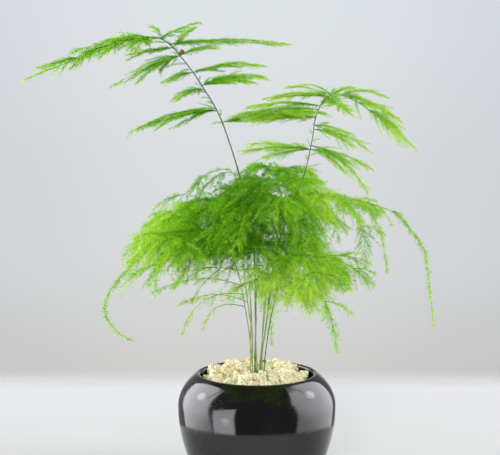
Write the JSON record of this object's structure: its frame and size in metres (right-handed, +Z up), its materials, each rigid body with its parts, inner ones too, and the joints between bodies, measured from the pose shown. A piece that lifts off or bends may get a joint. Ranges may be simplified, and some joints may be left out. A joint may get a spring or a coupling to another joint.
{
  "type": "potted asparagus fern",
  "caption": "Feathery asparagus fern with arching, needle-leaved fronds in a round glazed pot topped with pale gravel.",
  "frame": {"origin": "centre of the pot's flat underside", "axes": "+Z up, along the pot's axis; +X to the right and +Y away for a viewer who faces the plant's front"},
  "size_m": [0.2558, 0.2168, 0.2925],
  "materials": {
    "black_glaze": "gloss",
    "dark_soil": "matte",
    "cream_stone": "matte",
    "brown_crown": "matte",
    "fern_green": "matte"
  },
  "bodies": {
    "root": {"pot": "black_glaze", "potting_soil": "dark_soil", "gravel": "cream_stone", "root_crown": "brown_crown", "tall_left": "fern_green", "tall_right": "fern_green", "left_high": "fern_green", "left_low": "fern_green", "front_left": "fern_green", "back_left": "fern_green", "back_mid": "fern_green", "front_mid": "fern_green", "right_long": "fern_green", "right_low": "fern_green", "front_right": "fern_green", "back_right": "fern_green"}
  },
  "joints": []
}
